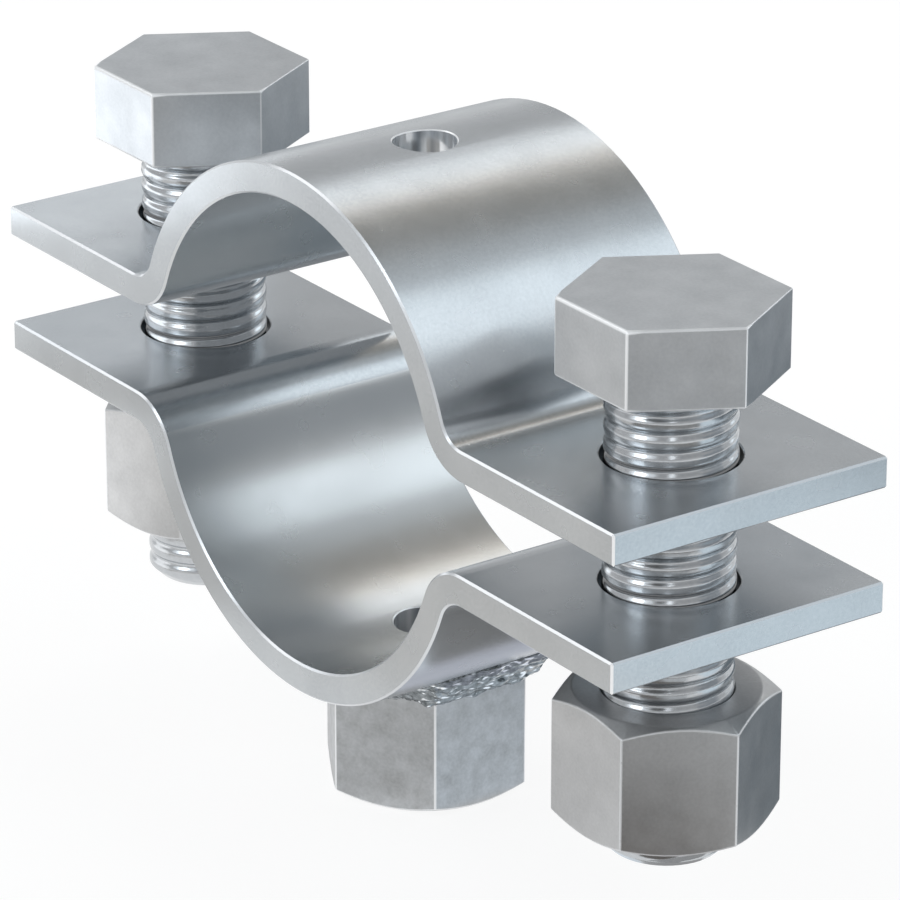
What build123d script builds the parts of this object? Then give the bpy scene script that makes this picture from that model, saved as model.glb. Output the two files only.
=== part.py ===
from build123d import *
import os
from math import atan2, degrees, sqrt

# Fixed point pipe clamp, all sizes in millimetres.
# X runs along the flanges, Y along the pipe, Z up; the origin is the pipe's axis at mid width.

# Pipe and strip
pipe_diameter = 60.3
band_thickness = 4.0
band_width = 40.0
flange_gap = 12.0
bend_inner_radius = 4.0
edge_break = 0.25
hole_edge_break = 0.15
crown_hole_diameter = 8.0

# Bolts and nuts
bolt_diameter = 16.0
across_flats = 24.0
hex_edge_radius = 0.4
head_height = 10.0
head_edge_break = 0.3
bolt_end_chamfer = 1.1
nut_height = 17.0
nut_face_diameter = 22.8
nut_chamfer_rise = 1.3
countersink = 0.5

# Fits and places
hole_clearance = 0.5
thread_clearance = 0.05
nut_bend_clearance = 0.65
flange_margin = 1.65
head_gap = 10.1
right_nut_gap = 9.9
left_nut_gap = 5.2
thread_showing = 3.5
left_nut_turn = 11.5
connection_nut_turn = 30.0

# Weld
weld_toe_drop = 1.4
weld_leg = 7.0
weld_slant = 42.5
weld_start = 4.0

# Ring and bend, worked out from the sizes above
ring_inner = pipe_diameter / 2
ring_outer = ring_inner + band_thickness
flange_near = flange_gap / 2
flange_far = flange_near + band_thickness
bend_outer_radius = bend_inner_radius + band_thickness
bend_height = flange_far + bend_inner_radius
bend_x = sqrt((ring_outer + bend_inner_radius) ** 2 - bend_height**2)
bend_angle = degrees(atan2(bend_height, bend_x))

# Bolt places and lengths
hex_corner = across_flats / sqrt(3)
bolt_x = bend_x + hex_corner + nut_bend_clearance
flange_end = bolt_x + hex_corner + flange_margin
grip = 2 * flange_far
head_underside = flange_far + head_gap
bolt_length = head_gap + grip + right_nut_gap + nut_height + thread_showing
bolt_end = head_underside - bolt_length
hole_radius = bolt_diameter / 2 + hole_clearance
nut_bore_radius = bolt_diameter / 2 + thread_clearance


# Half shells: one flat strip each, bent into half a ring with a flange at both ends
with BuildPart() as upper_half_shell:
    with BuildSketch(Plane.XZ):
        with BuildLine():
            Line((0, ring_outer), (0, ring_inner))
            CenterArc((0, 0), ring_inner, 90, bend_angle - 90)
            CenterArc((bend_x, bend_height), bend_outer_radius, 180 + bend_angle, 90 - bend_angle)
            Polyline(
                (bend_x, flange_near),
                (flange_end, flange_near),
                (flange_end, flange_far),
                (bend_x, flange_far),
            )
            CenterArc((bend_x, bend_height), bend_inner_radius, 180 + bend_angle, 90 - bend_angle)
            CenterArc((0, 0), ring_outer, 90, bend_angle - 90)
        make_face()
        mirror(about=Plane.YZ)
    extrude(amount=band_width / 2, both=True)
    strip_ends = upper_half_shell.faces().filter_by(Axis.X).sort_by(Axis.X)
    strip_sides = upper_half_shell.faces().filter_by(Axis.Y)
    rim_edges = strip_sides.edges() + (strip_ends[0] + strip_ends[-1]).edges().filter_by(Axis.Y)
    chamfer(rim_edges, length=edge_break)
    with Locations((-bolt_x, 0), (bolt_x, 0)):
        Hole(radius=hole_radius)
    bolt_hole_rims = upper_half_shell.edges(Select.LAST).filter_by(GeomType.CIRCLE)
    chamfer(bolt_hole_rims, length=hole_edge_break)
    Hole(radius=crown_hole_diameter / 2)
    crown_hole_rims = upper_half_shell.edges(Select.LAST).filter_by(GeomType.LINE, reverse=True)
    chamfer(crown_hole_rims, length=hole_edge_break)

with BuildPart() as lower_half_shell:
    mirror(upper_half_shell.part, about=Plane.XY)


def hex_bolt(x):
    """A fully threaded hexagon bolt, head up, with its shank at the thread's major diameter."""
    with BuildPart() as bolt:
        with BuildSketch(Plane.XY.offset(head_underside)) as head_outline:
            with Locations((x, 0)):
                RegularPolygon(across_flats / 2, 6, major_radius=False)
            chamfer(head_outline.vertices(), head_edge_break)
        extrude(amount=head_height)
        chamfer(bolt.faces().filter_by(Axis.Z).edges(), length=head_edge_break)
        with BuildSketch(Plane.XY.offset(bolt_end)):
            with Locations((x, 0)):
                Circle(bolt_diameter / 2)
        extrude(amount=bolt_length)
        chamfer(bolt.faces().sort_by(Axis.Z)[0].edges(), length=bolt_end_chamfer)
    return bolt


def hex_nut(x, top, turn):
    """A tall hexagon nut with both ends chamfered, its upper face at height top."""
    face_radius = nut_face_diameter / 2
    with BuildPart() as nut:
        with BuildSketch(Plane.XY.offset(top)) as outline:
            with Locations((x, 0)):
                RegularPolygon(across_flats / 2, 6, major_radius=False, rotation=turn)
            fillet(outline.vertices(), hex_edge_radius)
        extrude(amount=-nut_height)
        with BuildSketch(Plane.XZ):
            with BuildLine():
                Polyline(
                    (x, top),
                    (x + face_radius, top),
                    (x + hex_corner, top - nut_chamfer_rise),
                    (x + hex_corner, top - nut_height + nut_chamfer_rise),
                    (x + face_radius, top - nut_height),
                    (x, top - nut_height),
                    close=True,
                )
            make_face()
        revolve(axis=Axis((x, 0, 0), (0, 0, 1)), mode=Mode.INTERSECT)
        with Locations((x, 0, top)):
            Hole(radius=nut_bore_radius)
        chamfer(nut.edges(Select.LAST).filter_by(GeomType.CIRCLE), length=countersink)
    return nut


right_bolt = hex_bolt(bolt_x)
left_bolt = hex_bolt(-bolt_x)
right_nut = hex_nut(bolt_x, -flange_far - right_nut_gap, 0)
left_nut = hex_nut(-bolt_x, -flange_far - left_nut_gap, left_nut_turn)
connection_nut = hex_nut(0, -ring_outer, connection_nut_turn)


# Weld beads: a fillet round the nut's upper edge on each side, up to the ring's underside
with BuildPart() as right_weld_bead:
    with BuildSketch(Plane.XY.offset(-ring_outer - weld_toe_drop)) as toe_outline:
        RegularPolygon(across_flats / 2, 6, major_radius=False, rotation=connection_nut_turn)
        fillet(toe_outline.vertices(), hex_edge_radius)
    extrude(amount=weld_leg, taper=-weld_slant)
    with BuildSketch(Plane.XZ):
        Circle(ring_outer)
    extrude(amount=band_width, both=True, mode=Mode.SUBTRACT)
    with BuildSketch(Plane.XY.offset(-ring_outer - weld_toe_drop)):
        Circle(nut_face_diameter / 2)
    extrude(amount=weld_leg, mode=Mode.SUBTRACT)
    add(connection_nut.part, mode=Mode.SUBTRACT)
    split(bisect_by=Plane.YZ.offset(weld_start), keep=Keep.TOP)

with BuildPart() as left_weld_bead:
    mirror(right_weld_bead.part, about=Plane.YZ)


# Written pieces
pieces = {
    "upper_half_shell": upper_half_shell,
    "lower_half_shell": lower_half_shell,
    "left_bolt": left_bolt,
    "right_bolt": right_bolt,
    "left_nut": left_nut,
    "right_nut": right_nut,
    "connection_nut": connection_nut,
    "left_weld_bead": left_weld_bead,
    "right_weld_bead": right_weld_bead,
}
os.makedirs("parts", exist_ok=True)
for name, piece in pieces.items():
    piece.part.label = name
    export_step(piece.part, f"parts/{name}.step")
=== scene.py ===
import math

import bpy
from mathutils import Matrix, Vector, noise


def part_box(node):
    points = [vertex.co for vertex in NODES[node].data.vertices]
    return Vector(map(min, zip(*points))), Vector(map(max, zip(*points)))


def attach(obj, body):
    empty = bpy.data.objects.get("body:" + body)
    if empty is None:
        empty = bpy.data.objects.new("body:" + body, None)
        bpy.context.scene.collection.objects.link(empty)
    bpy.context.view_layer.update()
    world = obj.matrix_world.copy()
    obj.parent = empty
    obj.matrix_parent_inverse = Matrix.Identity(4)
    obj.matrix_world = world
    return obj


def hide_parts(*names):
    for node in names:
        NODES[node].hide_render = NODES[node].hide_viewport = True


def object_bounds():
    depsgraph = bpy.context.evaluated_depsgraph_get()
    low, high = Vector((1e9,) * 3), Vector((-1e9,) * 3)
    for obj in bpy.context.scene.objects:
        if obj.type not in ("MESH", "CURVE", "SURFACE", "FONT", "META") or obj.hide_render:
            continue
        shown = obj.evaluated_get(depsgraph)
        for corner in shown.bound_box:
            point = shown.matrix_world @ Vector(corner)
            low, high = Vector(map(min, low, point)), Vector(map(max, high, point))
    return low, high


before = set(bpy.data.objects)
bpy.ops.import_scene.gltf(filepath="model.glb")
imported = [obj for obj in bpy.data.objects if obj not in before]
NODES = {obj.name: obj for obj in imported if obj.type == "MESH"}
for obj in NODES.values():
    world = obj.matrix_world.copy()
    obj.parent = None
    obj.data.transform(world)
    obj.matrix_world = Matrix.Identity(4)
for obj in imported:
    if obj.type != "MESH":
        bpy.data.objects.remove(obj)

CAD_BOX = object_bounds()
MM = 0.001

# Camera, solved from the photograph's corners and outlines: degrees, metres, and millimetres of lens
CAMERA_AZIMUTH = 54.711
CAMERA_ELEVATION = 22.721
CAMERA_ROLL = 0.034
CAMERA_DISTANCE = 704.78 * MM
CAMERA_TARGET = Vector((5.35, 0.0, -4.96)) * MM
CAMERA_LENS = 228.24
SENSOR_WIDTH = 36.0
UPRIGHT_AIM = 0.99

# Studio: a level of 1 is the brightness of a white surface
LAMP_DISTANCE = 1.3
BAND_LENGTH = 1.1
FAR_CARD_DISTANCE = 1.2
FLOOR_SIZE = 8.0
FLOOR_COLOUR = (0.2, 0.2, 0.2)
FLOOR_GLOW = 0.85
FLOOR_CARD_LIFT = 0.3 * MM
HORIZON_COLOUR = (0.84, 0.85, 0.86)
SKY_GREYS = ((0.17, 0.65), (0.33, 0.56), (0.6, 0.45))
SKY_TINT = (1, 1.01, 1.02)
OVERHEAD_HEIGHT = 0.85
OVERHEAD_COLOUR = (0.35, 0.36, 0.365)

# Cards in the gaps between the bolts and their holes: dim glowing rings, painted light in the shaded gaps
# that only reflections show
BOLT_X = 49.994 * MM
GAP_CARD_RADII = (7.4 * MM, 8.5 * MM)
GAP_CARD_HEIGHTS = (("upper", 9.7 * MM), ("lower", -6.3 * MM))
GAP_CARD_LEVEL = 0.3
GAP_CARD_STEPS = 48

# Colours of lamps and cards
WHITE = (1, 1, 1)
WARM_WHITE = (1.02, 1, 0.97)
COOL_WHITE = (0.97, 1, 1.03)
PALE_BLUE = (0.95, 1, 1.05)
KEY_BLUE = (0.94, 1, 1.05)
SIDE_BLUE = (0.93, 1, 1.07)
BAND_BLUE = (0.9, 1, 1.07)
DEEP_BLUE = (0.86, 1, 1.12)

# Where the strip gets painted light and shade: by the size of a normal's part, and by place
SLANTED = (0.45, 0.9)
UPRIGHT = 0.3
RIM_WIDTH = 0.3 * MM
RING_INSIDE = 30.4 * MM
FLANGE_START = 40 * MM
CROWN_HOLE_REACH = 4.2 * MM
CROWN_HOLE_STREAK = 1.6 * MM

# What the painted marks look like: a colour, and the shares of the roughness and of the metal that stay
# Painted light: the inside of the ring is lighter than the plating
INSIDE_PAINTED_LIGHT = ((0.62, 0.635, 0.64), 1.0, 1.0)
# Painted highlight along the side rims
SIDE_RIM_PAINTED_HIGHLIGHT = ((0.70, 0.72, 0.74), 0.8, 0.4)
# Painted shade: the end rims are darker and less metallic, which dims the light they mirror
END_RIM_PAINTED_SHADE = ((0.45, 0.47, 0.49), 0.8, 0.6)
# Painted highlight on the strip's upright corners
CORNER_PAINTED_HIGHLIGHT = ((0.97, 0.97, 0.97), 0.8, 0.1)
# Painted shade on the walls of the bolt holes
BOLT_HOLE_PAINTED_SHADE = ((0.10, 0.11, 0.12), 1.0, 1.0)
# Painted light and dark streaks on the wall of the crown hole
CROWN_HOLE_PAINTED_SHADE = (0.34, 0.38, 0.42)
CROWN_HOLE_PAINTED_HIGHLIGHT = (0.97, 0.98, 0.99)
CROWN_HOLE_SHARES = (0.5, 0.7)
# Painted highlight on the rim of the crown hole
CROWN_RIM_PAINTED_HIGHLIGHT = ((0.97, 0.98, 0.99), 0.8, 0.2)
# Shares of roughness and metal kept under the painted highlights on the edges of bolts and nuts
EDGE_SHARES = (0.8, 0.2)

# Fine structure of the plating: how much detail each noise has, and the part of its range that is used
NOISE_RANGE = (0.3, 0.7)
MOTTLE_DETAIL = 4.0
GLOSS_DETAIL = 3.0
GLOSS_FINENESS = 1.7
SPECKLE_DETAIL = 2.0
SPECKLE_SIZE = 0.4 * MM
SPECKLE_STRENGTH = 0.12
SPECKLE_COLOUR = (0.85, 0.86, 0.87)
GRAIN_DETAIL = 2.0
GRAIN_SIZE = 0.4 * MM
HEXAGON_GRAIN = (0.1, 0.1, 1)
STREAK_DETAIL = 1.0
STREAK_STRETCH = (1, 1, 0)

# Meshes
SHARP_ANGLE = math.radians(35)
FLATNESS_WEIGHT = 100

# Hexagons of the bolt heads and nuts
SIDES = 6
HEX_APOTHEM = 12.0 * MM
HEX_CORNER = HEX_APOTHEM / math.cos(math.pi / 6)
HEX_EDGE_RADIUS = 0.4 * MM
STEPS_PER_SIDE = 12
CORNER_STEPS = 4
EDGE_STEPS = 4

# Bolts: each side of a head has its own edge rounding, as a share of its edge radius, and a painted
# highlight on its edges as strong as that share, at most 1
HEAD_HEIGHT = 10.0 * MM
HEAD_EDGE_RADIUS = 0.4 * MM
HEAD_ROUNDING_AND_HIGHLIGHT = (0.35, 0.35, 0.35, 0.35, 1.2, 0.75)
THREAD_RADIUS = 8.0 * MM
THREAD_DEPTH = 0.36 * MM
THREAD_PITCH = 2.29 * MM
BOLT_END_CHAMFER = 1.1 * MM
STEPS_PER_PITCH = 24

# Nuts
NUT_FACE_RADIUS = 11.4 * MM
NUT_CHAMFER_RISE = 1.3 * MM
NUT_BORE_RADIUS = 8.05 * MM
NUT_COUNTERSINK = 0.15 * MM
NUT_EDGE_WIDTH = 0.2 * MM
NUT_EDGE_CREST = 0.2
# Painted highlight on the rim of a nut's flat face
NUT_FACE_RIM_EDGE = 0.2
NUT_THREAD_DEPTH = 0.6 * MM
LEFT_NUT_TURN = 11.5
RIGHT_NUT_TURN = 0
CONNECTION_NUT_TURN = 30

# Weld metal
WELD_VOXEL = 0.2 * MM
WELD_SMOOTHING = 0.5
WELD_SMOOTHING_ROUNDS = 3
WELD_SWELL = 0.05 * MM
WELD_STRETCH = (1.0, 0.55, 1.4)
WELD_LUMP = 1.5 * MM
WELD_LUMP_HEIGHT = 0.55 * MM
WELD_RIPPLE = 0.7 * MM
WELD_RIPPLE_HEIGHT = 0.28 * MM
# Painted highlights: bright spots painted into the weld metal's colour
WELD_PAINTED_GLINT_SIZE = 0.8 * MM
WELD_PAINTED_GLINT_RANGE = (0.58, 0.68)
WELD_PAINTED_GLINT_DETAIL = 1.0
WELD_PAINTED_GLINT_MARK = ((0.93, 0.96, 0.99), 1.0, 1.0)


def direction(azimuth, elevation):
    """Unit vector from the object towards an azimuth and elevation, as the views count them."""
    a, e = math.radians(azimuth), math.radians(elevation)
    return Vector((math.sin(a) * math.cos(e), -math.cos(a) * math.cos(e), math.sin(e)))


def facing(back, along=None):
    """Rotation whose +Z looks along back, with +X level or as near to along as it can be."""
    if along is None:
        along = Vector((1, 0, 0)) if abs(back.z) > UPRIGHT_AIM else Vector((0, 0, 1)).cross(back)
    right = (along - back * along.dot(back)).normalized()
    return Matrix((right, back.cross(right), back)).transposed().to_4x4()


# Studio

def add_camera():
    data = bpy.data.cameras.new("camera")
    data.lens = CAMERA_LENS
    data.sensor_width = SENSOR_WIDTH
    camera = bpy.data.objects.new("camera", data)
    bpy.context.scene.collection.objects.link(camera)
    back = direction(CAMERA_AZIMUTH, CAMERA_ELEVATION)
    place = Matrix.Translation(CAMERA_TARGET + back * CAMERA_DISTANCE)
    camera.matrix_world = place @ facing(back) @ Matrix.Rotation(math.radians(CAMERA_ROLL), 4, "Z")
    bpy.context.scene.camera = camera


def add_softbox(name, back, length, breadth, level, colour=WHITE, along=None):
    """A large area lamp that faces the object."""
    data = bpy.data.lights.new(name, "AREA")
    data.shape = "RECTANGLE"
    data.size, data.size_y = length, breadth
    data.color = colour
    data.energy = level * math.pi * length * breadth
    lamp = bpy.data.objects.new(name, data)
    bpy.context.scene.collection.objects.link(lamp)
    lamp.matrix_world = Matrix.Translation(back * LAMP_DISTANCE) @ facing(back, along)
    lamp.visible_camera = False


def add_band(name, angles, level, colour):
    """A long softbox along the pipe, between two angles round it from -X over the top.

    It lies as far along the pipe as a ray from the camera goes once the ring has mirrored it."""
    view = direction(CAMERA_AZIMUTH, CAMERA_ELEVATION)
    reach = math.hypot(view.x, view.z)
    middle = math.radians(sum(angles) / 2)
    back = Vector((-math.cos(middle) * reach, -view.y, math.sin(middle) * reach))
    breadth = 2 * LAMP_DISTANCE * reach * math.tan(math.radians(angles[1] - angles[0]) / 2)
    add_softbox(name, back, BAND_LENGTH, breadth, level, colour, Vector((0, 1, 0)))


def glowing_card(name, points, faces, place, level, colour):
    """A card of the studio that glows evenly, which only reflections show."""
    mesh = bpy.data.meshes.new(name)
    mesh.from_pydata(points, [], faces)
    card = bpy.data.objects.new(name, mesh)
    bpy.context.scene.collection.objects.link(card)
    card.matrix_world = place
    material = bpy.data.materials.new(name)
    material.use_nodes = True
    tree = material.node_tree
    tree.nodes.clear()
    glow = tree.nodes.new("ShaderNodeEmission")
    glow.inputs["Color"].default_value = (*colour, 1)
    glow.inputs["Strength"].default_value = level
    output = tree.nodes.new("ShaderNodeOutputMaterial")
    tree.links.new(glow.outputs[0], output.inputs["Surface"])
    mesh.materials.append(material)
    card.visible_camera = False
    card.visible_diffuse = False
    card.visible_shadow = False


def add_card(name, place, width, height, level, colour):
    """A flat card with four corners."""
    x, y = width / 2, height / 2
    corners = [(-x, -y, 0), (x, -y, 0), (x, y, 0), (-x, y, 0)]
    glowing_card(name, corners, [(0, 1, 2, 3)], place, level, colour)


def add_far_card(name, back, width, height, level, colour):
    """A large card that stands off in a direction, facing the object's middle."""
    place = Matrix.Translation(back * FAR_CARD_DISTANCE) @ facing(back)
    add_card(name, place, width, height, level, colour)


def add_near_card(name, middle, back, size, level, colour=WHITE):
    """A small card near the object, with its middle and size in millimetres."""
    place = Matrix.Translation(Vector(middle) * MM) @ facing(back)
    add_card(name, place, size[0] * MM, size[1] * MM, level, colour)


def add_floor_card(name, x, y, level, colour=WHITE):
    """A card that lies on the floor between two x and two y places in millimetres."""
    middle = ((x[0] + x[1]) / 2 * MM, (y[0] + y[1]) / 2 * MM, CAD_BOX[0].z + FLOOR_CARD_LIFT)
    size = ((x[1] - x[0]) * MM, (y[1] - y[0]) * MM)
    add_card(name, Matrix.Translation(middle), *size, level, colour)


def add_gap_card(name, x, z):
    """A dim glowing flat ring in the gap between a bolt's thread and its hole: painted light in the gap's
    shade, which only reflections show.
    """
    points = []
    for step in range(GAP_CARD_STEPS):
        angle = 2 * math.pi * step / GAP_CARD_STEPS
        points += [(r * math.cos(angle), r * math.sin(angle), 0) for r in GAP_CARD_RADII]
    count = len(points)
    faces = [(i, i + 1, (i + 3) % count, (i + 2) % count) for i in range(0, count, 2)]
    glowing_card(name, points, faces, Matrix.Translation((x, 0, z)), GAP_CARD_LEVEL, WHITE)


def add_world():
    """A studio that is white at the horizon and greyer overhead."""
    world = bpy.data.worlds.new("studio")
    bpy.context.scene.world = world
    world.use_nodes = True
    tree = world.node_tree
    tree.nodes.clear()
    coords = tree.nodes.new("ShaderNodeTexCoord")
    split = tree.nodes.new("ShaderNodeSeparateXYZ")
    ramp = tree.nodes.new("ShaderNodeValToRGB")
    glow = tree.nodes.new("ShaderNodeBackground")
    output = tree.nodes.new("ShaderNodeOutputWorld")
    tree.links.new(coords.outputs["Generated"], split.inputs[0])
    tree.links.new(split.outputs["Z"], ramp.inputs["Fac"])
    tree.links.new(ramp.outputs["Color"], glow.inputs["Color"])
    tree.links.new(glow.outputs[0], output.inputs["Surface"])
    stops = ramp.color_ramp.elements
    stops[0].position, stops[0].color = 0.0, (*HORIZON_COLOUR, 1)
    stops[1].position, stops[1].color = OVERHEAD_HEIGHT, (*OVERHEAD_COLOUR, 1)
    for height, grey in SKY_GREYS:
        stops.new(height).color = (*(grey * part for part in SKY_TINT), 1)


def add_floor():
    """A white floor under the connection nut, which keeps a soft shadow."""
    mesh = bpy.data.meshes.new("floor")
    half = FLOOR_SIZE / 2
    corners = [(-half, -half, 0), (half, -half, 0), (half, half, 0), (-half, half, 0)]
    mesh.from_pydata(corners, [], [(0, 1, 2, 3)])
    floor = bpy.data.objects.new("floor", mesh)
    bpy.context.scene.collection.objects.link(floor)
    floor.location.z = CAD_BOX[0].z
    material = bpy.data.materials.new("floor_white")
    material.use_nodes = True
    tree = material.node_tree
    tree.nodes.clear()
    matt = tree.nodes.new("ShaderNodeBsdfDiffuse")
    matt.inputs["Color"].default_value = (*FLOOR_COLOUR, 1)
    glow = tree.nodes.new("ShaderNodeEmission")
    glow.inputs["Strength"].default_value = FLOOR_GLOW
    added = tree.nodes.new("ShaderNodeAddShader")
    output = tree.nodes.new("ShaderNodeOutputMaterial")
    tree.links.new(matt.outputs[0], added.inputs[0])
    tree.links.new(glow.outputs[0], added.inputs[1])
    tree.links.new(added.outputs[0], output.inputs["Surface"])
    mesh.materials.append(material)


def add_lamps():
    add_band("softbox_left", (45, 61), 1.10, (0.97, 1, 1.02))
    add_band("softbox_left_warm", (61, 70), 1.05, (1.12, 0.98, 0.82))
    add_band("softbox_right", (110, 137), 1.04, BAND_BLUE)
    add_band("softbox_right_fade", (88, 110), 0.23, BAND_BLUE)
    add_softbox("softbox_key", direction(-4, 33), 0.45, 0.55, 2.4, KEY_BLUE)
    add_softbox("softbox_key_wide", direction(-2, 34), 1.0, 0.5, 0.6, KEY_BLUE)
    add_softbox("softbox_front", direction(-56, 40), 0.6, 0.66, 1.65)
    add_softbox("softbox_strip", direction(53, 44), 0.16, 0.8, 1.4, (0.96, 1, 1.03))
    add_softbox("softbox_side_strip", direction(118, 50), 0.09, 0.6, 2.0)
    add_softbox("softbox_back", direction(180, 16), 0.6, 0.3, 1.3, (0.88, 1, 1.08))


def add_floor_cards():
    """Cards on the floor, which the sides of the heads, nuts and strip mirror."""
    add_floor_card("front_card", (-120, 0), (-210, -95), 0.80, WARM_WHITE)
    add_floor_card("front_left_card", (-210, -120), (-210, -95), 0.84)
    add_floor_card("front_near_left_card", (-150, -58), (-95, -40), 0.64, WARM_WHITE)
    add_floor_card("front_near_right_card", (-58, 0), (-95, -50), 0.77, (1.03, 1, 0.96))
    add_floor_card("left_front_card", (-340, -211), (-230, -80), 1.3)
    add_floor_card("left_far_card", (-1500, -341), (40, 1400), 0.64, (0.96, 1, 1.03))
    add_floor_card("left_back_card", (-340, -150), (80, 300), 0.62)
    add_floor_card("under_nut_card", (13, 47), (-7, 34), 0.92, SIDE_BLUE)
    add_floor_card("before_nut_card", (0, 24), (-49, -14), 0.77)
    # Painted shade: a dark card on the floor under the end of the right bolt
    add_floor_card("right_end_card", (47.5, 72), (-7.5, 9), 0.42)
    add_floor_card("right_near_card", (58, 108), (-98, -8), 0.17, (1.08, 0.99, 0.92))
    add_floor_card("right_middle_card", (108, 178), (-98, -8), 0.66, (0.97, 1, 1.02))
    add_floor_card("right_far_card", (178, 300), (-98, 29), 0.27, WARM_WHITE)
    add_floor_card("front_right_card", (0, 300), (-330, -99), 0.24, (1.04, 1, 0.95))
    add_floor_card("right_back_card", (95, 320), (30, 116), 1.05, (0.86, 0.98, 1.06))
    add_floor_card("right_behind_card", (86, 320), (117, 300), 0.2, DEEP_BLUE)
    add_floor_card("back_card", (-240, -12), (28, 300), 0.28, DEEP_BLUE)
    add_floor_card("right_nut_back_card", (-12, 85), (28, 300), 0.22, DEEP_BLUE)


def add_near_cards():
    """Small cards near the object, each of which one part of it mirrors."""
    up = Vector((0, 0, 1))
    left = direction(-90, 0)
    # Painted shade: a dark card under the lower flange and ring, which reflections show as the shade
    # there
    add_near_card("under_card", (35.5, 9.75, -33), up, (25, 42), 0.26)
    add_near_card("under_ring_card", (19.7, 4, -33), up, (6.6, 38), 0.66, (0.94, 0.97, 1.08))
    # Painted light: a dim glowing card in the shaded gap between the flanges, which only reflections show
    add_near_card("left_gap_card", (-34.5, 0, 0), left, (38, 10.5), 0.3, PALE_BLUE)
    add_near_card("left_nut_card", (-74, -29, -35), direction(-35, -22), (26, 20), 1.45)
    add_near_card("left_head_card", (-86, -36, 10), direction(-58, -19), (50, 22), 1.9, COOL_WHITE)
    # Painted light in the shaded gaps round the bolts
    for side in (-1, 1):
        for shell, z in GAP_CARD_HEIGHTS:
            add_gap_card(f"gap_card_{shell}_{side + 1}", side * BOLT_X, z)
    add_near_card("left_low_card", (-130, 28, 22.5), left, (66, 9), 0.8, PALE_BLUE)
    add_near_card("right_low_card", (7, 40, 17), direction(-125, 22), (36, 10), 0.42, PALE_BLUE)
    add_near_card("left_side_card", (-130, 28, 43), left, (66, 18), 1.15, COOL_WHITE)


def add_studio():
    add_world()
    add_floor()
    add_lamps()
    add_far_card("dark_side_card", direction(124, 14), 0.9, 0.62, 0.36, SIDE_BLUE)
    add_far_card("overhead_card", direction(-164, 56), 0.5, 0.22, 0.30, (1.06, 1, 0.9))
    add_floor_cards()
    add_near_cards()


# Materials

def new_material(name):
    material = bpy.data.materials.new(name)
    material.use_nodes = True
    return material, material.node_tree, material.node_tree.nodes["Principled BSDF"]


def maths(tree, operation, first, second=0.0):
    """A math node of two inputs, each a socket or a number."""
    node = tree.nodes.new("ShaderNodeMath")
    node.operation = operation
    for socket, value in zip(node.inputs, (first, second)):
        if isinstance(value, (int, float)):
            socket.default_value = value
        else:
            tree.links.new(value, socket)
    return node.outputs[0]


def noise_node(tree, coords, scale, detail, stretch=(1, 1, 1)):
    mapping = tree.nodes.new("ShaderNodeMapping")
    mapping.inputs["Scale"].default_value = stretch
    tree.links.new(coords.outputs["Object"], mapping.inputs["Vector"])
    texture = tree.nodes.new("ShaderNodeTexNoise")
    texture.inputs["Scale"].default_value = scale
    texture.inputs["Detail"].default_value = detail
    tree.links.new(mapping.outputs["Vector"], texture.inputs["Vector"])
    return texture.outputs["Fac"]


def ranged(tree, value, low, high, source=NOISE_RANGE):
    """Spreads a noise value over a range of numbers."""
    node = tree.nodes.new("ShaderNodeMapRange")
    node.inputs["From Min"].default_value = source[0]
    node.inputs["From Max"].default_value = source[1]
    node.inputs["To Min"].default_value = low
    node.inputs["To Max"].default_value = high
    tree.links.new(value, node.inputs["Value"])
    return node.outputs["Result"]


def mixed_colour(tree, factor, first, second):
    """A colour between two, each a socket or three numbers."""
    node = tree.nodes.new("ShaderNodeMix")
    node.data_type = "RGBA"
    tree.links.new(factor, node.inputs["Factor"])
    for name, colour in (("A", first), ("B", second)):
        socket = next(s for s in node.inputs if s.name == name and s.type == "RGBA")
        if isinstance(colour, tuple):
            socket.default_value = (*colour, 1)
        else:
            tree.links.new(colour, socket)
    return next(s for s in node.outputs if s.type == "RGBA")


def separated(tree, vector):
    """The sizes of a vector's three parts, without their signs."""
    node = tree.nodes.new("ShaderNodeSeparateXYZ")
    tree.links.new(vector, node.inputs[0])
    return [maths(tree, "ABSOLUTE", node.outputs[axis]) for axis in "XYZ"]


def between(tree, value, low, high):
    """1 where a value lies between two numbers."""
    over, under = maths(tree, "GREATER_THAN", value, low), maths(tree, "LESS_THAN", value, high)
    return maths(tree, "MULTIPLY", over, under)


def both(tree, *masks):
    """1 where every one of the masks is 1."""
    result = masks[0]
    for mask in masks[1:]:
        result = maths(tree, "MULTIPLY", result, mask)
    return result


def less(tree, mask, share):
    """1 away from a mask and a smaller share on it."""
    return maths(tree, "SUBTRACT", 1.0, maths(tree, "MULTIPLY", mask, 1.0 - share))


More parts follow.
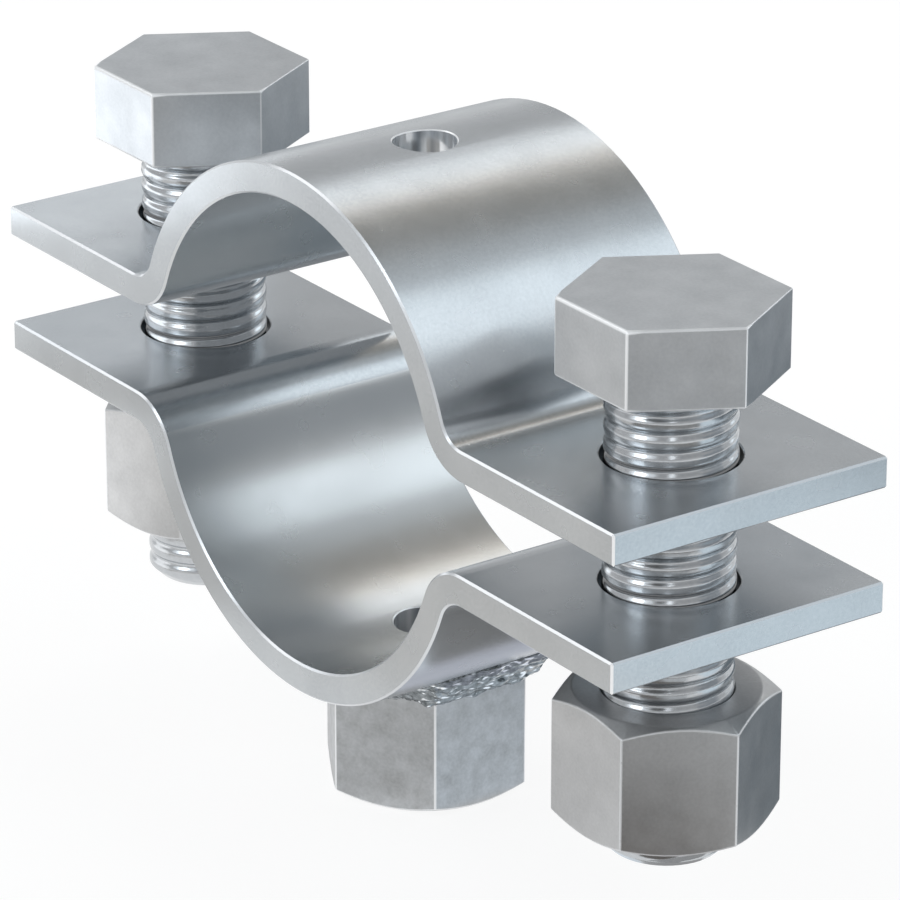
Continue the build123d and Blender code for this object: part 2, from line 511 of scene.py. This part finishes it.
def painted_strip_marks(tree, coords):
    """Light and shade painted on the strip: highlights on its rims, corners and crown hole rim, light
    inside the ring, shade on the bolt-hole walls, and light and dark streaks in the crown hole, each a
    mask, a colour and its two shares.
    """
    nx, ny, nz = separated(tree, coords.outputs["Normal"])
    x, y, z = separated(tree, coords.outputs["Object"])
    side = (CAD_BOX[1].y - CAD_BOX[0].y) / 2 - RIM_WIDTH
    end = (CAD_BOX[1].x - CAD_BOX[0].x) / 2 - RIM_WIDTH
    at_side = maths(tree, "GREATER_THAN", y, side)
    at_end = maths(tree, "GREATER_THAN", x, end)
    across = between(tree, ny, *SLANTED)
    upright = maths(tree, "LESS_THAN", nz, UPRIGHT)
    on_flange = between(tree, x, FLANGE_START, end)
    # Painted shade on the walls of the bolt holes
    bolt_wall_painted_shade = both(tree, upright, on_flange, maths(tree, "LESS_THAN", y, side))
    crown_x = maths(tree, "LESS_THAN", x, CROWN_HOLE_REACH)
    crown_y = maths(tree, "LESS_THAN", y, CROWN_HOLE_REACH)
    at_crown = both(tree, crown_x, crown_y)
    crown_wall = both(tree, upright, at_crown)
    crown_rim = both(tree, between(tree, nz, *SLANTED), at_crown)
    # Painted light and dark streaks on the crown hole's wall
    streaks = noise_node(tree, coords, 1 / CROWN_HOLE_STREAK, STREAK_DETAIL, STREAK_STRETCH)
    crown_painted_streaks = mixed_colour(tree, ranged(tree, streaks, 0, 1), CROWN_HOLE_PAINTED_SHADE, CROWN_HOLE_PAINTED_HIGHLIGHT)
    squares = maths(tree, "ADD", maths(tree, "MULTIPLY", x, x), maths(tree, "MULTIPLY", z, z))
    in_ring = maths(tree, "LESS_THAN", maths(tree, "SQRT", squares), RING_INSIDE)
    # Painted light on the ring's inside
    inside = both(tree, in_ring, maths(tree, "LESS_THAN", y, side))
    end_rim = both(tree, between(tree, nz, *SLANTED), at_end)
    # Painted highlight on the upright corners
    corner = both(tree, across, at_side, at_end, between(tree, nx, *SLANTED))
    return (
        (inside, *INSIDE_PAINTED_LIGHT),
        (both(tree, across, at_side), *SIDE_RIM_PAINTED_HIGHLIGHT),
        (end_rim, *END_RIM_PAINTED_SHADE),
        (corner, *CORNER_PAINTED_HIGHLIGHT),
        (bolt_wall_painted_shade, *BOLT_HOLE_PAINTED_SHADE),
        (crown_wall, crown_painted_streaks, *CROWN_HOLE_SHARES),
        (crown_rim, *CROWN_RIM_PAINTED_HIGHLIGHT),
    )


def painted_weld_glints(tree, coords):
    """Painted highlights: small bright spots in the weld metal's colour."""
    spots = noise_node(tree, coords, 1 / WELD_PAINTED_GLINT_SIZE, WELD_PAINTED_GLINT_DETAIL, WELD_STRETCH)
    return ((ranged(tree, spots, 0, 1, WELD_PAINTED_GLINT_RANGE), *WELD_PAINTED_GLINT_MARK),)


def painted_edge_highlights(colour):
    """Painted highlights on the edges, as strong as the edge value that the modelled pieces store at
    their points.
    """
    def marks(tree, coords):
        attribute = tree.nodes.new("ShaderNodeAttribute")
        attribute.attribute_name = "edge"
        return ((attribute.outputs["Fac"], colour, *EDGE_SHARES),)
    return marks


def zinc(name, dark, light, roughness, mottle_size, grain_height, grain_stretch=(1, 1, 1), marks=None):
    """Zinc plated steel: mottled and speckled colour, uneven gloss, the painted highlights, light and
    shade of its marks, and a grain if it has a height.
    """
    material, tree, shader = new_material(name)
    coords = tree.nodes.new("ShaderNodeTexCoord")
    mottle = noise_node(tree, coords, 1 / mottle_size, MOTTLE_DETAIL)
    colour = mixed_colour(tree, ranged(tree, mottle, 0, 1), dark, light)
    speckle = noise_node(tree, coords, 1 / SPECKLE_SIZE, SPECKLE_DETAIL)
    colour = mixed_colour(tree, ranged(tree, speckle, 0, SPECKLE_STRENGTH), colour, SPECKLE_COLOUR)
    cloud = noise_node(tree, coords, GLOSS_FINENESS / mottle_size, GLOSS_DETAIL)
    gloss = ranged(tree, cloud, *roughness)
    metal = 1.0
    # Each mark paints its colour over the plating as painted light and shade, and keeps its shares of the
    # roughness and the metal
    for mask, mark, share, metal_share in marks(tree, coords) if marks else ():
        colour = mixed_colour(tree, mask, colour, mark)
        gloss = maths(tree, "MULTIPLY", gloss, less(tree, mask, share))
        if metal_share < 1.0:
            metal = maths(tree, "MULTIPLY", less(tree, mask, metal_share), metal)
    tree.links.new(colour, shader.inputs["Base Color"])
    tree.links.new(gloss, shader.inputs["Roughness"])
    if metal == 1.0:
        shader.inputs["Metallic"].default_value = metal
    else:
        tree.links.new(metal, shader.inputs["Metallic"])
    if grain_height:
        bump = tree.nodes.new("ShaderNodeBump")
        bump.inputs["Strength"].default_value = 1.0
        bump.inputs["Distance"].default_value = grain_height
        grain = noise_node(tree, coords, 1 / GRAIN_SIZE, GRAIN_DETAIL, grain_stretch)
        tree.links.new(grain, bump.inputs["Height"])
        tree.links.new(bump.outputs["Normal"], shader.inputs["Normal"])
    return material


def make_materials():
    return {
        "strip": zinc(
            "strip_zinc", dark=(0.49, 0.515, 0.535), light=(0.545, 0.57, 0.59), roughness=(0.24, 0.28),
            mottle_size=9 * MM, grain_height=0, marks=painted_strip_marks),
        # Near-white painted highlights on the head's edges
        "head": zinc(
            "bolt_zinc", dark=(0.475, 0.495, 0.515), light=(0.565, 0.585, 0.605), roughness=(0.34, 0.40),
            mottle_size=5 * MM, grain_height=0.0012 * MM, grain_stretch=HEXAGON_GRAIN,
            marks=painted_edge_highlights((0.95, 0.96, 0.97))),
        "thread": zinc(
            "thread_zinc", dark=(0.49, 0.51, 0.53), light=(0.55, 0.57, 0.59), roughness=(0.17, 0.22),
            mottle_size=3 * MM, grain_height=0.0003 * MM),
        # Painted highlights on the nuts' edges
        "nut": zinc(
            "nut_zinc", dark=(0.45, 0.455, 0.46), light=(0.52, 0.525, 0.53), roughness=(0.32, 0.40),
            mottle_size=5 * MM, grain_height=0.0012 * MM, grain_stretch=HEXAGON_GRAIN,
            marks=painted_edge_highlights((0.66, 0.67, 0.68))),
        # Painted highlights on the connection nut's edges
        "connection": zinc(
            "connection_zinc", dark=(0.355, 0.365, 0.37), light=(0.465, 0.48, 0.495),
            roughness=(0.36, 0.46), mottle_size=2.2 * MM, grain_height=0.0015 * MM,
            marks=painted_edge_highlights((0.88, 0.89, 0.90))),
        "weld": zinc(
            "weld_metal", dark=(0.07, 0.085, 0.09), light=(0.34, 0.37, 0.39), roughness=(0.12, 0.20),
            mottle_size=1.0 * MM, grain_height=0.001 * MM, marks=painted_weld_glints),
    }


# Meshes

def ring_mesh(name, rings, materials, closed=False, thread_rows=0):
    """A closed mesh through rings of points with an edge value each, which sets the painted edge
    highlight there: a capped tube, or a ring of rings.

    Its first thread_rows rows of faces take the second material."""
    count = len(rings[0])
    points = [p for ring in rings for p, edge in ring]
    faces = []
    rows = len(rings) if closed else len(rings) - 1
    for row in range(rows):
        low, high = row * count, (row + 1) % len(rings) * count
        for i in range(count):
            j = (i + 1) % count
            faces.append((low + i, low + j, high + j, high + i))
    if not closed:
        faces.append(tuple(reversed(range(count))))
        faces.append(tuple(range((len(rings) - 1) * count, len(rings) * count)))
    mesh = bpy.data.meshes.new(name)
    mesh.from_pydata(points, [], faces)
    for material in materials:
        mesh.materials.append(material)
    for face in range(thread_rows * count):
        mesh.polygons[face].material_index = 1
    mesh.polygons.foreach_set("use_smooth", [True] * len(mesh.polygons))
    mesh.set_sharp_from_angle(angle=SHARP_ANGLE)
    # The edge value sets the painted highlight at each point
    attribute = mesh.attributes.new("edge", "FLOAT", "POINT")
    attribute.data.foreach_set("value", [edge for ring in rings for p, edge in ring])
    mesh.update()
    piece = bpy.data.objects.new(name, mesh)
    bpy.context.scene.collection.objects.link(piece)
    weighted = piece.modifiers.new("flats", "WEIGHTED_NORMAL")
    weighted.keep_sharp = True
    weighted.weight = FLATNESS_WEIGHT
    return piece


def hexagon_outline(turn=0, side_sizes_and_highlights=(1,) * SIDES):
    """Points round a hexagon with rounded corners: radius, angle, painted highlight value, and their
    side's rounding and highlight size.
    """
    outline = []
    corner_sizes_and_highlights = [max(side_sizes_and_highlights[side - 1], side_sizes_and_highlights[side]) for side in range(SIDES)]
    corners = [(HEX_APOTHEM - size_and_highlight * HEX_EDGE_RADIUS) / math.cos(math.pi / 6) for size_and_highlight in corner_sizes_and_highlights]
    side_steps = STEPS_PER_SIDE - CORNER_STEPS
    for side in range(SIDES):
        corner_angle = side * math.pi / 3
        size_and_highlight, start, end = corner_sizes_and_highlights[side], corners[side], corners[(side + 1) % SIDES]
        centre = Vector((math.cos(corner_angle), math.sin(corner_angle))) * start
        for step in range(CORNER_STEPS + 1):
            swing = corner_angle + (step / CORNER_STEPS - 0.5) * math.pi / 3
            point = centre + Vector((math.cos(swing), math.sin(swing))) * size_and_highlight * HEX_EDGE_RADIUS
            # Painted highlight along the rounded corner, strongest at its middle
            edge = min(size_and_highlight, 1) * (1 - (2 * step / CORNER_STEPS - 1) ** 4)
            outline.append((point, edge, size_and_highlight))
        normal = corner_angle + math.pi / 6
        outwards = Vector((math.cos(normal), math.sin(normal)))
        sideways = Vector((outwards.y, -outwards.x))
        for step in range(1, side_steps):
            place = start / 2 - (start + end) / 2 * step / side_steps
            outline.append((outwards * HEX_APOTHEM + sideways * place, 0.0, side_sizes_and_highlights[side]))
    turned = math.radians(turn)
    return [(p.length, math.atan2(p.y, p.x) + turned, edge, size_and_highlight) for p, edge, size_and_highlight in outline]


def at(centre, radius, angle, z):
    """A point at a radius and angle round an upright axis."""
    return Vector((centre.x + radius * math.cos(angle), centre.y + radius * math.sin(angle), z))


def thread_rise(angle, z, start):
    """Height of a right-hand thread of round ridges and narrow roots, from 0 to 1."""
    phase = (z - start) / THREAD_PITCH - angle / (2 * math.pi)
    return 1 - math.cos(math.pi * phase) ** 4


def bolt(node, body, materials):
    """Hexagon bolt with its thread cut up to the head."""
    low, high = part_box(node)
    centre = (low + high) / 2
    bottom, top = low.z, high.z
    underside = top - HEAD_HEIGHT
    outline = hexagon_outline(side_sizes_and_highlights=HEAD_ROUNDING_AND_HIGHLIGHT)
    rings = []
    steps = round((underside - bottom) / THREAD_PITCH * STEPS_PER_PITCH)
    for step in range(steps + 1):
        z = bottom + (underside - bottom) * step / steps
        limit = THREAD_RADIUS - BOLT_END_CHAMFER + (z - bottom)
        ring = []
        for _, angle, _, _ in outline:
            r = THREAD_RADIUS - THREAD_DEPTH * (1 - thread_rise(angle, z, underside))
            ring.append((at(centre, min(r, limit), angle, z), 0.0))
        rings.append(ring)
    for height, outwards in ((underside, 1), (top, -1)):
        for step in range(EDGE_STEPS + 1):
            swing = math.pi / 2 * step / EDGE_STEPS
            rise = 1 - math.cos(swing) if outwards > 0 else math.sin(swing) - 1
            inset = 1 - math.sin(swing) if outwards > 0 else 1 - math.cos(swing)
            row_edge = 1 - (2 * step / EDGE_STEPS - 1) ** 2
            ends = step == 0 if outwards > 0 else step == EDGE_STEPS
            ring = []
            for radius, angle, edge, size_and_highlight in outline:
                # Painted highlight along the rounded top and bottom edges of the head
                value = 0.0 if ends else min(max(edge, row_edge * size_and_highlight), 1.0)
                rounding = size_and_highlight * HEAD_EDGE_RADIUS
                r, z = radius - inset * rounding, height + rise * rounding
                ring.append((at(centre, r, angle, z), value))
            rings.append(ring)
    coats = (materials["head"], materials["thread"])
    piece = ring_mesh("threaded_" + node, rings, coats, thread_rows=steps)
    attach(piece, body)
    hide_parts(node)


def nut(node, body, material, turn, threaded):
    """Tall hexagon nut with both ends chamfered, and an internal thread where nothing fills the bore."""
    low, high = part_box(node)
    centre = (low + high) / 2
    bottom, top = low.z, high.z
    outline = hexagon_outline(turn)
    steps = round((top - bottom) / THREAD_PITCH * STEPS_PER_PITCH) if threaded else 1
    first, last = bottom + NUT_COUNTERSINK, top - NUT_COUNTERSINK
    rings = []
    for step in range(steps + 1):
        z = last + (first - last) * step / steps
        ring = []
        for _, angle, _, _ in outline:
            ridge = NUT_THREAD_DEPTH * thread_rise(angle, z, bottom) if threaded else 0.0
            r = NUT_BORE_RADIUS - min(ridge, z - first, last - z)
            ring.append((at(centre, r, angle, z), 0.0))
        rings.append(ring)
    for end, up in ((bottom, -1), (top, 1)):
        rows = nut_end(outline, centre, end, up)
        rings += rows if up < 0 else reversed(rows)
    piece = ring_mesh("detailed_" + node, rings, (material,), closed=True)
    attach(piece, body)
    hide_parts(node)


def nut_end(outline, centre, end, up):
    """The rings of a nut's end: countersink, flat face, the face's rim, and the chamfer with its edge,
    each point with its painted highlight value.
    """
    slope = NUT_CHAMFER_RISE / (HEX_CORNER - NUT_FACE_RADIUS)
    crest = NUT_EDGE_CREST * NUT_EDGE_WIDTH
    columns = []
    for radius, angle, edge, _ in outline:
        drop = slope * (radius - NUT_FACE_RADIUS)
        profile = (
            (NUT_BORE_RADIUS + NUT_COUNTERSINK, 0.0, 0.0),
            (NUT_FACE_RADIUS - NUT_EDGE_WIDTH, 0.0, 0.0),
            (NUT_FACE_RADIUS + NUT_EDGE_WIDTH, slope * NUT_EDGE_WIDTH, NUT_FACE_RIM_EDGE),
            (radius - NUT_EDGE_WIDTH, drop - slope * NUT_EDGE_WIDTH, 0.0),
            (radius - crest, drop + crest, 1.0),
            (radius, drop + NUT_EDGE_WIDTH, edge),
        )
        columns.append([(at(centre, r, angle, end - up * fall), value) for r, fall, value in profile])
    return list(zip(*columns))


def weld_bead(node, body, material):
    """Lumpy weld metal in the place and form of its solid."""
    mesh = NODES[node].data.copy()
    piece = bpy.data.objects.new("lumpy_" + node, mesh)
    bpy.context.scene.collection.objects.link(piece)
    remesh = piece.modifiers.new("remesh", "REMESH")
    remesh.mode = "VOXEL"
    remesh.voxel_size = WELD_VOXEL
    soften = piece.modifiers.new("soften", "SMOOTH")
    soften.factor = WELD_SMOOTHING
    soften.iterations = WELD_SMOOTHING_ROUNDS
    bpy.context.view_layer.update()
    evaluated = piece.evaluated_get(bpy.context.evaluated_depsgraph_get())
    dense = bpy.data.meshes.new_from_object(evaluated)
    dense.name = "lumpy_" + node
    piece.modifiers.clear()
    piece.data = dense
    dense.materials.clear()
    dense.materials.append(material)
    moved = []
    for vertex in dense.vertices:
        place = Vector(part * stretch for part, stretch in zip(vertex.co, WELD_STRETCH))
        lump = noise.noise(place / WELD_LUMP)
        ripple = noise.noise(place / WELD_RIPPLE)
        lift = WELD_SWELL + WELD_LUMP_HEIGHT * lump + WELD_RIPPLE_HEIGHT * ripple
        moved.append(vertex.co + vertex.normal * lift)
    for vertex, place in zip(dense.vertices, moved):
        vertex.co = place
    dense.polygons.foreach_set("use_smooth", [True] * len(dense.polygons))
    dense.update()
    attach(piece, body)
    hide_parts(node)


def dress(node, material):
    """Gives a CAD node its material."""
    data = NODES[node].data
    data.materials.clear()
    data.materials.append(material)


materials = make_materials()
add_camera()
add_studio()
for shell in ("upper_half_shell", "lower_half_shell"):
    dress(shell, materials["strip"])
for name in ("left_bolt", "right_bolt"):
    bolt(name, name, materials)
nut("left_nut", "left_nut", materials["nut"], LEFT_NUT_TURN, threaded=False)
nut("right_nut", "right_nut", materials["nut"], RIGHT_NUT_TURN, threaded=False)
nut("connection_nut", "lower_clamp", materials["connection"], CONNECTION_NUT_TURN,
    threaded=True)
for bead in ("left_weld_bead", "right_weld_bead"):
    weld_bead(bead, "lower_clamp", materials["weld"])

bpy.context.scene.view_settings.view_transform = "Standard"
bpy.context.view_layer.update()
